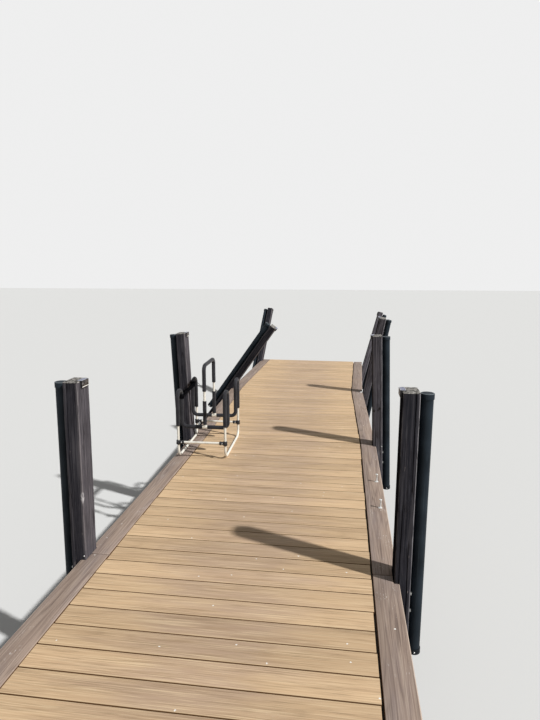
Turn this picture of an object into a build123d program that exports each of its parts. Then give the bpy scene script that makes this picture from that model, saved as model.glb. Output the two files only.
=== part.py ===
# Lake dock in four bays: composite decking on timber frames and bents, with tall side posts,
# pipe fenders, small post lights, two ladder pins and a two-slot rack for paddle boards.
# Millimetres. +Y runs out over the water, +X to the right, +Z up.
# The origin is the centre of the shore header's outer face.

import os
from math import cos, radians, sqrt, tan

from build123d import *

# The run of bays
bay_yaws = [0, 0, 1.5, -1.6]  # heading of each bay in degrees, left of the first one
bent_spacing = 2286
end_reach = 102
bay_seam = 6

# Framing timber
frame_width = 1768
joist_height = 184
joist_thickness = 38
inner_joist_count = 3

# Composite boards
board_thickness = 25
edge_board_width = 140
edge_overhang = 30
deck_side_gap = 4
notch_clearance = 5

# Bents under the frames
cap_length = 1560
cap_size = 140
pile_size = 140
pile_spacing = 1000
bearing_clearance = 0.3

# Side posts
post_thickness = 89
post_depth = 140
post_length = 1829
post_rise = 1060
post_edge_radius = 5

# Lean of each post on the left (-1) and the right (1), from the shore: degrees to the right,
# then degrees towards the lake
lean_angles = {
    -1: [(0, 0), (0.6, 0), (-2.5, 0), (35.5, -4), (6, 33)],
    1: [(0, 0), (0.3, 0), (-2, 0), (10, -5), (16, 30)],
}

# Pipe fender on the outer face of each post, with a slip-on cap at both ends
pipe_diameter = 66
pipe_wall = 4
pipe_length = 1500
pipe_drop = 14
pipe_stand_off = 10
spacer_diameter = 24
spacer_inset = 180
slip_cap_diameter = 73
slip_cap_height = 32
slip_cap_chamfer = 2.5
drain_diameter = 12

# Light on the dock side of each post, with a lip that hooks over the post's top
light_length = 78
light_height = 38
light_depth = 12
light_shift = 5
light_chamfer = 3
lens_height = 6
lip_reach = 18
lip_thickness = 3

# Pins of a swim ladder in the right edge board
pin_diameter = 12
pin_head_diameter = 20
pin_head_height = 7
pin_height = 65
pin_spacing = 480
pin_edge_inset = 44
pin_from_shore = 3252

# Paddle board rack on the left of the deck, placed by its middle
rack_from_shore = 4409
rack_edge_inset = 256
rack_turn = 1.5  # degrees, anticlockwise from above
rack_tube = 22
foam_diameter = 35
foam_clearance = 0.3
rack_width = 425
rack_length = 680
rack_corner_radius = 70
hairpin_width = 137
hairpin_flat = 2
hairpin_rise = 600
cradle_rise = 249
cradle_corner_radius = 48
hoop_rise = 815
hoop_corner_radius = 50
clamp_rise = 144
clamp_diameter = 38
clamp_height = 40
clamp_reach = 62
foam_start_rise = 225
tee_length = 46
tee_diameter = 30
band_low_rise = 452
band_high_rise = 520

# Levels and half widths that follow from them
frame_half = frame_width / 2
joist_top = joist_height / 2
joist_foot = -joist_height / 2
deck_top = joist_top + board_thickness
edge_half = frame_half + edge_overhang
deck_half = edge_half - edge_board_width - deck_side_gap
cap_foot = joist_foot - cap_size
post_foot = deck_top + post_rise - post_length


def place(plane, x, y, z=0):
    """Copy of a plane with its origin moved in its own directions."""
    return Plane(plane.location * Location((x, y, z)))


def turned(plane, angle):
    """Copy of a plane turned anticlockwise about its own normal."""
    return Plane(plane.location * Location((0, 0, 0), (0, 0, angle)))


# Turn of the dock at each bent, and the length of each bay
bent_turns = [0] + [lake - shore for shore, lake in zip(bay_yaws, bay_yaws[1:])] + [0]
bay_lengths = [bent_spacing] * len(bay_yaws)
bay_lengths[0] += end_reach
bay_lengths[-1] += end_reach

# Plane of each bay, on its centre line at its shore end
bays = [Plane.XY]
for length, turn in zip(bay_lengths[:-1], bent_turns[1:]):
    bays.append(turned(place(bays[-1], 0, length), turn))

# Plane of each bent: on its joint, turned halfway between the two bays
bents = [place(bays[0], 0, end_reach)]
for bay, turn in zip(bays[1:], bent_turns[1:]):
    bents.append(turned(bay, -turn / 2))
bents.append(place(bays[-1], 0, bay_lengths[-1] - end_reach))


def post_seat(side, number):
    """Distance from the centre line to the inner face of a post at its bent."""
    half_turn = radians(abs(bent_turns[number]) / 2)
    hollow = post_depth / 2 * tan(half_turn) if side * bent_turns[number] < 0 else 0
    return frame_half / cos(half_turn) + hollow + bearing_clearance


def post_plane(side, number):
    """Plane across the foot of a post, leaned about the edge that the post bears on."""
    to_right, to_lake = lean_angles[side][number]
    seat_level = deck_top if to_right * side < 0 else joist_foot
    seat = Location((side * post_seat(side, number), 0, seat_level))
    lean = Location((0, 0, 0), (0, to_right, 0)) * Location((0, 0, 0), (-to_lake, 0, 0))
    foot = Location((side * post_thickness / 2, 0, post_foot - seat_level))
    return Plane(bents[number].location * seat * lean * foot)


def near_end(index, x, inset=0):
    """Shore end of a bay's timber at x in the bay's plane, cut along its joint."""
    half_turn = radians(bent_turns[index] / 2)
    gap = inset + (bay_seam / 2 if index > 0 else 0)
    return gap / cos(half_turn) - x * tan(half_turn)


def far_end(index, x, inset=0):
    """Lake end of a bay's timber at x in the bay's plane, cut along its joint."""
    half_turn = radians(bent_turns[index + 1] / 2)
    gap = inset + (bay_seam / 2 if index < len(bays) - 1 else 0)
    return bay_lengths[index] - gap / cos(half_turn) + x * tan(half_turn)


os.makedirs("parts", exist_ok=True)
pieces = {}


def add_block(plane, x, y, width, depth, height):
    """Add an upright block to the open part, standing on a plane."""
    with BuildSketch(plane) as block:
        with Locations((x, y)):
            Rectangle(width, depth)
    extrude(block.sketch, amount=height)


def add_strip(index, level, height, left, right, inset=0):
    """Add a strip that runs the length of a bay, mitred to its joints, to the open part."""
    corners = [(x, near_end(index, x, inset)) for x in (left, right)]
    corners += [(x, far_end(index, x, inset)) for x in (right, left)]
    with BuildSketch(place(bays[index], 0, 0, level)) as strip:
        Polygon(*corners, align=None)
    extrude(strip.sketch, amount=height)


# Deck of each bay: boards across the dock, screwed down on the joists
for index in range(len(bays)):
    with BuildPart() as deck:
        add_strip(index, joist_top, board_thickness, -deck_half, deck_half)
    pieces[f"deck_{index + 1}"] = deck.part

# Edge boards along both sides, notched round the posts
for side, name in ((-1, "left_edge_boards"), (1, "right_edge_boards")):
    with BuildPart() as edge_boards:
        for index in range(len(bays)):
            across = sorted((side * edge_half, side * (edge_half - edge_board_width)))
            add_strip(index, joist_top, board_thickness, *across)
        for number, bent in enumerate(bents):
            seat = post_seat(side, number) - bearing_clearance
            with BuildSketch(place(bent, 0, 0, joist_top)):
                with Locations((side * (seat + post_thickness / 2), 0)):
                    Rectangle(post_thickness, post_depth + 2 * notch_clearance)
            extrude(amount=board_thickness, mode=Mode.SUBTRACT)
            with BuildSketch(post_plane(side, number)):
                Rectangle(post_thickness, post_depth + 2 * notch_clearance)
            extrude(amount=post_length, mode=Mode.SUBTRACT)
    pieces[name] = edge_boards.part

# Joists of each bay: a rim under each edge board, and between the headers one under each
# seam beside the edge boards and the inner ones
joist_pitch = (frame_width - joist_thickness) / (inner_joist_count + 1)
rim_middle = frame_half - joist_thickness / 2
seam_middle = deck_half + deck_side_gap / 2
joist_middles = [line * joist_pitch - rim_middle for line in range(1, inner_joist_count + 1)]
joist_middles += [-seam_middle, seam_middle]
for index in range(len(bays)):
    with BuildPart() as joists:
        for middle in (-rim_middle, rim_middle):
            add_strip(index, joist_foot, joist_height, middle - joist_thickness / 2,
                      middle + joist_thickness / 2)
        for middle in joist_middles:
            add_strip(index, joist_foot, joist_height, middle - joist_thickness / 2,
                      middle + joist_thickness / 2, joist_thickness)
    pieces[f"joists_{index + 1}"] = joists.part

header_half = frame_half - joist_thickness


def add_header(index, end_at, shore_inset, lake_inset):
    """Add the board that closes one end of a bay's frame to the open part."""
    corners = [(x, end_at(index, x, shore_inset)) for x in (-header_half, header_half)]
    corners += [(x, end_at(index, x, lake_inset)) for x in (header_half, -header_half)]
    with BuildSketch(place(bays[index], 0, 0, joist_foot)) as board:
        Polygon(*corners, align=None)
    extrude(board.sketch, amount=joist_height)


# Headers that close the bays' frames, at each bent
for number in range(len(bents)):
    with BuildPart() as headers:
        if number > 0:
            add_header(number - 1, far_end, joist_thickness, 0)
        if number < len(bays):
            add_header(number, near_end, 0, joist_thickness)
    pieces[f"headers_{number}"] = headers.part

# Cap under each joint and the two piles that carry it
for number, bent in enumerate(bents):
    with BuildPart() as cap:
        add_block(place(bent, 0, 0, cap_foot), 0, 0, cap_length, cap_size, cap_size)
    pieces[f"cap_{number}"] = cap.part
    with BuildPart() as piles:
        for side in (-1, 1):
            add_block(place(bent, 0, 0, post_foot), side * pile_spacing / 2, 0, pile_size,
                      pile_size, cap_foot - post_foot)
    pieces[f"piles_{number}"] = piles.part

# Side posts, with their long edges worn round
for side, side_name in ((-1, "left"), (1, "right")):
    for number in range(len(bents)):
        with BuildPart() as post:
            with BuildSketch(post_plane(side, number)):
                RectangleRounded(post_thickness, post_depth, post_edge_radius)
            extrude(amount=post_length)
        pieces[f"{side_name}_post_{number}"] = post.part

def stood_up(plane):
    """Plane through the same point whose own Y runs up along the old plane's normal."""
    return Plane(plane.location * Location((0, 0, 0), (90, 0, 0)))


# Half section of a fender: the pipe's wall between two slip-on caps, the lower one drained
pipe_radius = pipe_diameter / 2
pipe_bore_radius = pipe_radius - pipe_wall
slip_cap_radius = slip_cap_diameter / 2
slip_cap_face = slip_cap_radius - slip_cap_chamfer
fender_section = [
    (drain_diameter / 2, 0),
    (slip_cap_face, 0),
    (slip_cap_radius, slip_cap_chamfer),
    (slip_cap_radius, slip_cap_height),
    (pipe_radius, slip_cap_height),
    (pipe_radius, pipe_length - slip_cap_height),
    (slip_cap_radius, pipe_length - slip_cap_height),
    (slip_cap_radius, pipe_length - slip_cap_chamfer),
    (slip_cap_face, pipe_length),
    (0, pipe_length),
    (0, pipe_length - pipe_wall),
    (pipe_bore_radius, pipe_length - pipe_wall),
    (pipe_bore_radius, pipe_wall),
    (drain_diameter / 2, pipe_wall),
]

# Pipe fenders: a capped pipe held off each post by two round spacers that end in its wall
pipe_centre = post_thickness / 2 + pipe_stand_off + pipe_radius
pipe_foot = post_length - pipe_drop - pipe_length
spacer_radius = spacer_diameter / 2
spacer_hollow = pipe_radius - sqrt(pipe_radius ** 2 - spacer_radius ** 2)
for side, name in ((-1, "left_fenders"), (1, "right_fenders")):
    with BuildPart() as fenders:
        for number in range(len(bents)):
            foot = place(post_plane(side, number), 0, 0, pipe_foot)
            axis = place(foot, side * pipe_centre, 0)
            face = Plane(place(foot, side * post_thickness / 2, 0).location
                         * Location((0, 0, 0), (0, side * 90, 0)))
            with BuildSketch(face):
                with Locations((-side * spacer_inset, 0),
                               (-side * (pipe_length - spacer_inset), 0)):
                    Circle(spacer_radius)
            extrude(amount=pipe_stand_off + (spacer_hollow + pipe_wall) / 2)
            with BuildSketch(stood_up(axis)):
                Polygon(*fender_section, align=None)
            revolve(axis=Axis(axis.origin, axis.z_dir))
    pieces[name] = fenders.part

# Side section of a light, outwards and up from the post's top edge: a housing with its lens
# along the foot, and a lip back over the post's top
light_section = [
    (0, 0),
    (0, -light_height),
    (light_depth - light_chamfer, -light_height),
    (light_depth, lens_height - light_height),
    (light_depth, lip_thickness - light_chamfer),
    (light_depth - light_chamfer, lip_thickness),
    (-lip_reach, lip_thickness),
    (-lip_reach, 0),
]

# Post lights: one at the top of each post's dock face
with BuildPart() as post_lights:
    for side in (-1, 1):
        for number in range(len(bents)):
            edge = place(post_plane(side, number), -side * post_thickness / 2, light_shift,
                         post_length)
            with BuildSketch(stood_up(turned(edge, 90 + side * 90))):
                Polygon(*light_section, align=None)
            extrude(amount=light_length / 2, both=True)
pieces["post_lights"] = post_lights.part

# Ladder pins: two headed pins that stand up from the right edge board
with BuildPart() as ladder_pins:
    for step in range(2):
        spot = place(bays[0], edge_half - pin_edge_inset, pin_from_shore + step * pin_spacing,
                     deck_top)
        with BuildSketch(spot):
            Circle(pin_diameter / 2)
        extrude(amount=pin_height)
        with BuildSketch(place(spot, 0, 0, pin_height - pin_head_height)):
            Circle(pin_head_diameter / 2)
        extrude(amount=pin_head_height)
pieces["ladder_pins"] = ladder_pins.part

# Rack: its plane on the deck, and what follows from its sizes there
rack_across = -edge_half + rack_edge_inset
rack = turned(place(bays[0], rack_across, rack_from_shore, deck_top), rack_turn)
leg_across = rack_width / 2
leg_along = rack_length / 2
bar_along = leg_along - hairpin_width
tube_radius = rack_tube / 2
foam_bore = rack_tube + 2 * foam_clearance
runner_rise = tube_radius + foam_clearance
hairpin_radius = (hairpin_width - hairpin_flat) / 2
cradle_radii = [hairpin_radius, hairpin_radius, cradle_corner_radius]


def sweep_tube(path, outer, inner=0):
    """Add a round tube or rod along a path to the open part."""
    with BuildSketch(Plane(origin=path @ 0, z_dir=path % 0)) as section:
        Circle(outer / 2)
        if inner:
            Circle(inner / 2, mode=Mode.SUBTRACT)
    sweep(section.sketch, path=path)


def cradle_points(end, side, start_rise, stop_across=0):
    """Half of a cradle: leg, hairpin and cross bar, from a level up the leg to the middle."""
    x = side * leg_across
    return [
        (x, end * leg_along, start_rise),
        (x, end * leg_along, hairpin_rise),
        (x, end * bar_along, hairpin_rise),
        (x, end * bar_along, cradle_rise),
        (side * stop_across, end * bar_along, cradle_rise),
    ]


# Side rails: a leg, a runner along the deck and a leg, bent from one tube on each side
with BuildPart() as rack_side_rails:
    for x in (-leg_across, leg_across):
        with BuildLine(rack) as rail_line:
            FilletPolyline(
                (x, -leg_along, clamp_rise),
                (x, -leg_along, runner_rise),
                (x, leg_along, runner_rise),
                (x, leg_along, clamp_rise),
                radius=rack_corner_radius,
            )
        sweep_tube(rail_line.line, rack_tube)
pieces["rack_side_rails"] = rack_side_rails.part

# Cradles: one tube that rises from the left leg, turns back down, crosses and rises again
with BuildPart() as rack_cradles:
    for end in (-1, 1):
        left = cradle_points(end, -1, clamp_rise)
        right = cradle_points(end, 1, clamp_rise)
        with BuildLine(rack) as cradle_line:
            FilletPolyline(*left[:-1], *reversed(right[:-1]),
                           radius=cradle_radii + list(reversed(cradle_radii)))
        sweep_tube(cradle_line.line, rack_tube)
pieces["rack_cradles"] = rack_cradles.part

# Hoop between the two slots, standing in a tee on each cradle
hoop = place(rack, 0, 0, cradle_rise)
hoop_foot = (rack_tube + tee_diameter) / 4
hoop_top = hoop_rise - cradle_rise
socket_top = tee_length / 2
with BuildPart() as rack_hoop:
    with BuildLine(hoop) as hoop_line:
        FilletPolyline(
            (0, -bar_along, hoop_foot),
            (0, -bar_along, hoop_top),
            (0, bar_along, hoop_top),
            (0, bar_along, hoop_foot),
            radius=hoop_corner_radius,
        )
    sweep_tube(hoop_line.line, rack_tube)
    for end in (-1, 1):
        socket = place(hoop, 0, end * bar_along, hoop_foot)
        with BuildSketch(socket):
            Circle(tee_diameter / 2)
        extrude(amount=socket_top - hoop_foot)
        tee = Plane(place(rack, -tee_length / 2, end * bar_along, cradle_rise).location
                    * Location((0, 0, 0), (0, 90, 0)))
        with BuildSketch(tee):
            Circle(tee_diameter / 2)
        extrude(amount=tee_length)
        with BuildSketch(tee):
            Circle(foam_bore / 2)
        extrude(amount=tee_length, mode=Mode.SUBTRACT)
pieces["rack_hoop"] = rack_hoop.part

# Cross bars low down between the legs, at both ends
bar_trim = foam_bore / 2
with BuildPart() as rack_crossbars:
    for end in (-1, 1):
        bar = Plane(place(rack, bar_trim - leg_across, end * leg_along, clamp_rise).location
                    * Location((0, 0, 0), (0, 90, 0)))
        with BuildSketch(bar):
            Circle(tube_radius)
        extrude(amount=rack_width - 2 * bar_trim)
pieces["rack_crossbars"] = rack_crossbars.part

# Clamps: a collar round each leg with a socket for the cross bar
with BuildPart() as rack_clamps:
    for end in (-1, 1):
        for side in (-1, 1):
            middle = place(rack, side * leg_across, end * leg_along, clamp_rise)
            collar = place(middle, 0, 0, -clamp_height / 2)
            socket = Plane(middle.location * Location((0, 0, 0), (0, -side * 90, 0)))
            with BuildSketch(collar):
                Circle(clamp_diameter / 2)
            extrude(amount=clamp_height)
            with BuildSketch(socket):
                Circle(clamp_diameter / 2)
            extrude(amount=clamp_reach)
            with BuildSketch(collar):
                Circle(bar_trim)
            extrude(amount=clamp_height, mode=Mode.SUBTRACT)
            with BuildSketch(socket):
                Circle(bar_trim)
            extrude(amount=clamp_reach, mode=Mode.SUBTRACT)
pieces["rack_clamps"] = rack_clamps.part

# Foam sleeves on the cradles and on the hoop, with bare bands on the hoop's legs
sleeve_stop = tee_length / 2 + foam_clearance
band_low = band_low_rise - cradle_rise
band_high = band_high_rise - cradle_rise
with BuildPart() as rack_foam:
    for end in (-1, 1):
        for side in (-1, 1):
            points = cradle_points(end, side, foam_start_rise, sleeve_stop)
            with BuildLine(rack) as sleeve_line:
                FilletPolyline(*points, radius=cradle_radii)
            sweep_tube(sleeve_line.line, foam_diameter, foam_bore)
    with BuildLine(hoop) as hoop_sleeve_line:
        FilletPolyline(
            (0, -bar_along, band_high),
            (0, -bar_along, hoop_top),
            (0, bar_along, hoop_top),
            (0, bar_along, band_high),
            radius=hoop_corner_radius,
        )
    sweep_tube(hoop_sleeve_line.line, foam_diameter, foam_bore)
    for end in (-1, 1):
        with BuildSketch(place(hoop, 0, end * bar_along, sleeve_stop)):
            Circle(foam_diameter / 2)
            Circle(foam_bore / 2, mode=Mode.SUBTRACT)
        extrude(amount=band_low - sleeve_stop)
pieces["rack_foam"] = rack_foam.part

# Each piece is labelled and written under its own name
for name, piece in pieces.items():
    piece.label = name
    export_step(piece, f"parts/{name}.step")
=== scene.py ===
from math import pi, radians, sin
from random import Random

import bpy
from mathutils import Matrix, Vector, noise


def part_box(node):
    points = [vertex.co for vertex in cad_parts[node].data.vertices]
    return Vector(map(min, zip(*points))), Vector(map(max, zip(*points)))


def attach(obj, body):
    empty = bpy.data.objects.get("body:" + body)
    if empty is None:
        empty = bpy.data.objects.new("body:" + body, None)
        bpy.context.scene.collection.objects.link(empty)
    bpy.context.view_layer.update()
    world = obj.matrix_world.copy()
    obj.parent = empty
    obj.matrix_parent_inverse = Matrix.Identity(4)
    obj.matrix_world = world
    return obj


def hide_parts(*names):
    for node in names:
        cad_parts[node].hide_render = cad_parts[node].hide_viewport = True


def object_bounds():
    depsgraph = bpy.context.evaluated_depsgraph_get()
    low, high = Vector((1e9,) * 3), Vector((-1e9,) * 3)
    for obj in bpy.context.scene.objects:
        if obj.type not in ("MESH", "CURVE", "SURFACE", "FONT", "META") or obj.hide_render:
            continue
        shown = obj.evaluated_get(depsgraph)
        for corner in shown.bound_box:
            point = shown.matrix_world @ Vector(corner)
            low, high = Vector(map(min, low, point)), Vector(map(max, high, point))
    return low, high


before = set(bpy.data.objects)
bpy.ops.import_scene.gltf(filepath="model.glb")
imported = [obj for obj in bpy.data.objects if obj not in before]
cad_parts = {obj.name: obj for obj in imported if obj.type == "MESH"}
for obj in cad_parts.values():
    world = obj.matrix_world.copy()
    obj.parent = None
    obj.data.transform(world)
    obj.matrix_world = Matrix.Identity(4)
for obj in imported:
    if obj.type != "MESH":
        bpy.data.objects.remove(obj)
solid_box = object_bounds()

# Deck boards
# Wood composite boards with a brushed face, rounded along both edges and slotted for the
# hidden clips that hold them to the joists. They run on over the straight joint, and are
# sawn to the joint's line where the dock turns. Grime and painted shade darken the gaps
# between them, and their rounded top edges are paler, partly rubbed and partly a painted
# highlight.
board_pitch = 0.14606
board_width = 0.1407
board_round = 0.0045
gap_depth = 0.0022
arris_depth = 0.0055
board_end_ease = 0.0012
board_slot = 0.005
board_slot_depth = 0.008
board_ends_in = (0.001, 0.005), (0.004, 0.010)  # how far the left and right ends fall short
board_lift = 0.0006
joint_gap = 0.003
straight_runs = {"deck_boards_shore": ("deck_1", "deck_2"), "deck_boards_middle": ("deck_3",),
                 "deck_boards_lake": ("deck_4",)}
tiny = 0.0002
hair = 0.0001


def choose(*pieces):
    """Select these objects only, if any, with the first one active."""
    bpy.ops.object.select_all(action="DESELECT")
    for piece in pieces:
        piece.select_set(True)
    bpy.context.view_layer.objects.active = pieces[0] if pieces else None


def edit():
    """Go into edit mode."""
    bpy.ops.object.mode_set(mode="EDIT")


def leave():
    """Go back to object mode."""
    bpy.ops.object.mode_set(mode="OBJECT")


def select(piece, kind, wanted):
    """Select the edges or faces, in edit mode, that a test on their direction or normal and
    their middle accepts."""
    bpy.ops.mesh.select_mode(type=kind)
    bpy.ops.mesh.select_all(action="DESELECT")
    leave()
    points = piece.data.vertices
    for edge in piece.data.edges if kind == "EDGE" else ():
        start, end = (points[index].co for index in edge.vertices)
        edge.select = wanted((end - start).normalized(), (start + end) / 2)
    for face in piece.data.polygons if kind == "FACE" else ():
        face.select = wanted(face.normal, face.center)
    edit()
    bpy.ops.mesh.select_mode(type=kind)


def bevel(width, segments):
    """Round the edges that are selected."""
    bpy.ops.mesh.bevel(offset=width, segments=segments, affect="EDGES")


def corners_in(matrix, points):
    """Lowest and highest corner of some points, measured along a matrix's own axes."""
    inside = [matrix.inverted() @ Vector(point) for point in points]
    return [Vector([end(point[axis] for point in inside) for axis in range(3)])
            for end in (min, max)]


def own_box(mesh, order):
    """How a box-like mesh lies, as a matrix from its own middle, and its size along that.
    Order names the axes that its broadest faces, the next ones and the last ones look along."""
    spread = {}
    for face in mesh.polygons:
        normal = face.normal if max(face.normal, key=abs) > 0 else -face.normal
        key = tuple(round(part, 4) for part in normal)
        spread[key] = spread.get(key, 0) + face.area
    broad = [Vector(key).normalized() for key in sorted(spread, key=spread.get, reverse=True)]
    first = broad[0]
    second = next(normal for normal in broad if abs(normal.dot(first)) < 0.1)
    axes = dict(zip(order, (first, second, first.cross(second))))
    for name, along in zip("xyz", Matrix.Identity(3)):
        if axes[name].dot(along) < 0:
            axes[name].negate()
    lie = Matrix([axes[name] for name in "xyz"]).transposed().to_4x4()
    low, high = corners_in(lie, [vertex.co for vertex in mesh.vertices])
    return lie @ Matrix.Translation((low + high) / 2), high - low


def add_bar(name, size, middle=(0, 0, 0)):
    """A block of this size, all its faces selected, left in edit mode."""
    choose()
    bpy.ops.mesh.primitive_cube_add(size=1)
    bar = bpy.context.object
    bar.name = name
    edit()
    bpy.ops.transform.resize(value=size)
    bpy.ops.transform.translate(value=middle)
    return bar


def keep(piece, name, values):
    """Keep a number or a vector for each point of a piece, or one number for all of them,
    under a name that its material reads."""
    if isinstance(values, float):
        values = [values] * len(piece.data.vertices)
    if isinstance(values[0], float):
        kept = piece.data.attributes.new(name, "FLOAT", "POINT")
        kept.data.foreach_set("value", values)
    else:
        kept = piece.data.attributes.new(name, "FLOAT_VECTOR", "POINT")
        kept.data.foreach_set("vector", [part for vector in values for part in vector])


def keep_grain(piece, tone=0.5, shift=(0, 0, 0), matrix=Matrix(), along="x"):
    """Keep each point's place along and across the grain, in a matrix's own axes, and the
    piece's tone from 0 to 1. The grain's first part runs along the axis that is named."""
    order = {"x": (0, 1, 2), "y": (1, 0, 2), "z": (2, 0, 1)}[along]
    spots = [matrix.inverted() @ vertex.co for vertex in piece.data.vertices]
    keep(piece, "grain", [Vector([spot[axis] for axis in order]) + Vector(shift)
                          for spot in spots])
    keep(piece, "tone", tone)


def join(name, pieces):
    """Make one piece of several."""
    choose(*pieces)
    bpy.ops.object.join()
    bpy.context.object.name = name
    bpy.context.object.data.name = name
    return bpy.context.object


def finish_piece(piece, slot, material, *nodes, angle=35):
    """Shade a finished piece smooth except across edges sharper than an angle, give it its
    material and body, and hide the nodes that it stands for. Its slot is not used."""
    choose(piece)
    bpy.ops.object.shade_smooth_by_angle(angle=radians(angle))
    piece.data.materials.clear()
    piece.data.materials.append(material)
    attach(piece, "root")
    if nodes:
        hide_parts(*nodes)


def shade(colour):
    """A colour given as it looks on a screen, from 0 to 255, as the shader takes it."""
    parts = [part / 255 for part in colour]
    return [part / 12.92 if part < 0.04 else ((part + 0.055) / 1.055) ** 2.4
            for part in parts] + [1.0]


class Value:
    """A node's output. Arithmetic on it adds Math nodes to its tree."""

    def __init__(self, nodes, socket):
        self.nodes = nodes
        self.socket = socket

    def __add__(self, other):
        return self.nodes.math("ADD", self, other)

    def __sub__(self, other):
        return self.nodes.math("SUBTRACT", self, other)

    def __rsub__(self, other):
        return self.nodes.math("SUBTRACT", other, self)

    def __mul__(self, other):
        return self.nodes.math("MULTIPLY", self, other)

    def __abs__(self):
        return self.nodes.math("ABSOLUTE", self)

    def most(self, other):
        """The greater of two values."""
        return self.nodes.math("MAXIMUM", self, other)

    def spread(self, low, high, to_low=0.0, to_high=1.0):
        """The value taken from one range to another, and held inside it."""
        return self.nodes.add("ShaderNodeMapRange", Value=self, From_Min=low, From_Max=high,
                              To_Min=to_low, To_Max=to_high)[0]


class Nodes:
    """A node tree that is written one node a line, with its inputs given by name."""

    def __init__(self, tree, end):
        self.tree = tree
        self.end = end

    def put(self, value, socket):
        """Link a value to a socket, or set the socket to a constant or a screen colour."""
        if isinstance(value, Value):
            self.tree.links.new(value.socket, socket)
        else:
            is_colour = socket.type == "RGBA" and len(value) == 3
            socket.default_value = shade(value) if is_colour else value

    def add(self, kind, settings=None, **inputs):
        """Add a node, set its properties, and fill or link its inputs. Gives its outputs, by
        number and by name."""
        node = self.tree.nodes.new(kind)
        for name, value in (settings or {}).items():
            setattr(node, name, value)
        for name, value in inputs.items():
            key = int(name[1:]) if name[1:].isdigit() else name.replace("_", " ")
            self.put(value, node.inputs[key])
        return {key: Value(self, socket) for number, socket in enumerate(node.outputs)
                for key in (number, socket.name)}

    def give(self, **results):
        """Hand results to the material's shader, or out of the group."""
        for name, value in results.items():
            self.put(value, self.end[name.replace("_", " ")])

    def dress(self, colour, roughness, height=None, strength=0.0, distance=0.0):
        """Give a material its colour and roughness, and its relief through a Bump node."""
        self.give(Base_Color=colour, Roughness=roughness)
        if height is not None:
            self.give(Normal=self.add("ShaderNodeBump", Strength=strength, Distance=distance,
                                      Height=height)["Normal"])

    def math(self, operation, *values):
        """The result of a Math node."""
        inputs = {f"i{index}": value for index, value in enumerate(values)}
        return self.add("ShaderNodeMath", {"operation": operation}, **inputs)[0]

    def mix(self, share, first, second, blend="MIX"):
        """The result of a colour Mix node."""
        return self.add("ShaderNodeMix", {"data_type": "RGBA", "blend_type": blend},
                        i0=share, i6=first, i7=second)[2]

    def layers(self, colour, *layers):
        """A colour with others laid over it in turn, each by its own share."""
        for share, over in layers:
            colour = self.mix(share, colour, over)
        return colour

    def toned(self, colour, tone):
        """A colour made darker or lighter by a value."""
        grey = self.add("ShaderNodeCombineColor", Red=tone, Green=tone, Blue=tone)[0]
        return self.mix(1.0, colour, grey, "MULTIPLY")

    def place(self):
        """The place on the object."""
        return self.add("ShaderNodeTexCoord")["Object"]

    def kept(self, name, output="Fac"):
        """A value or vector that the pieces' points keep under a name."""
        return self.add("ShaderNodeAttribute", {"attribute_name": name})[output]

    def parts(self, vector):
        """The three parts of a vector."""
        outputs = self.add("ShaderNodeSeparateXYZ", Vector=vector)
        return [outputs[axis] for axis in range(3)]

    def stretched(self, vector, scale):
        """A vector scaled along its axes."""
        return self.add("ShaderNodeMapping", Vector=vector, Scale=scale)[0]

    def distance(self, first, second):
        """The distance between two points."""
        return self.add("ShaderNodeVectorMath", {"operation": "DISTANCE"},
                        i0=first, i1=second)["Value"]

    def noise(self, vector, scale, detail, stretch=(1.0, 1.0, 1.0), swirl=0.0, roughness=0.55):
        """The grey value of a Noise Texture on a stretched vector."""
        return self.add("ShaderNodeTexNoise", Vector=self.stretched(vector, stretch), Scale=scale,
                        Detail=detail, Roughness=roughness, Distortion=swirl)[0]

    def few_cells(self, vector, scale, share, across="3D"):
        """Distance from the middles of scattered cells, and 1 in the share of cells that
        count."""
        cells = self.add("ShaderNodeTexVoronoi", {"voronoi_dimensions": across},
                         Vector=vector, Scale=scale)
        red = self.add("ShaderNodeSeparateColor", Color=cells["Color"])[0]
        return cells["Distance"], self.math("LESS_THAN", red, share)


def new_group(name, **inputs):
    """A node group with inputs, given as defaults, that gives out a colour, a roughness and
    a height. Comes with its builder and its inputs."""
    group = bpy.data.node_groups.new(name, "ShaderNodeTree")
    for key, value in inputs.items():
        is_colour = isinstance(value, tuple)
        group.interface.new_socket(
            name=key.replace("_", " "), in_out="INPUT",
            socket_type="NodeSocketColor" if is_colour else "NodeSocketFloat"
        ).default_value = shade(value) if is_colour else value
    for key, kind in (("Color", "Color"), ("Roughness", "Float"), ("Height", "Float")):
        group.interface.new_socket(name=key, in_out="OUTPUT", socket_type="NodeSocket" + kind)
    nodes = Nodes(group, group.nodes.new("NodeGroupOutput").inputs)
    return group, nodes, nodes.add("NodeGroupInput")


def new_material(name, gloss=0.5, **constants):
    """A material with one Principled BSDF, its constants set on the shader's own sockets."""
    material = bpy.data.materials.new(name)
    material.use_nodes = True
    nodes = Nodes(material.node_tree, material.node_tree.nodes["Principled BSDF"].inputs)
    nodes.give(Specular_IOR_Level=gloss, **constants)
    return material, nodes
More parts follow.
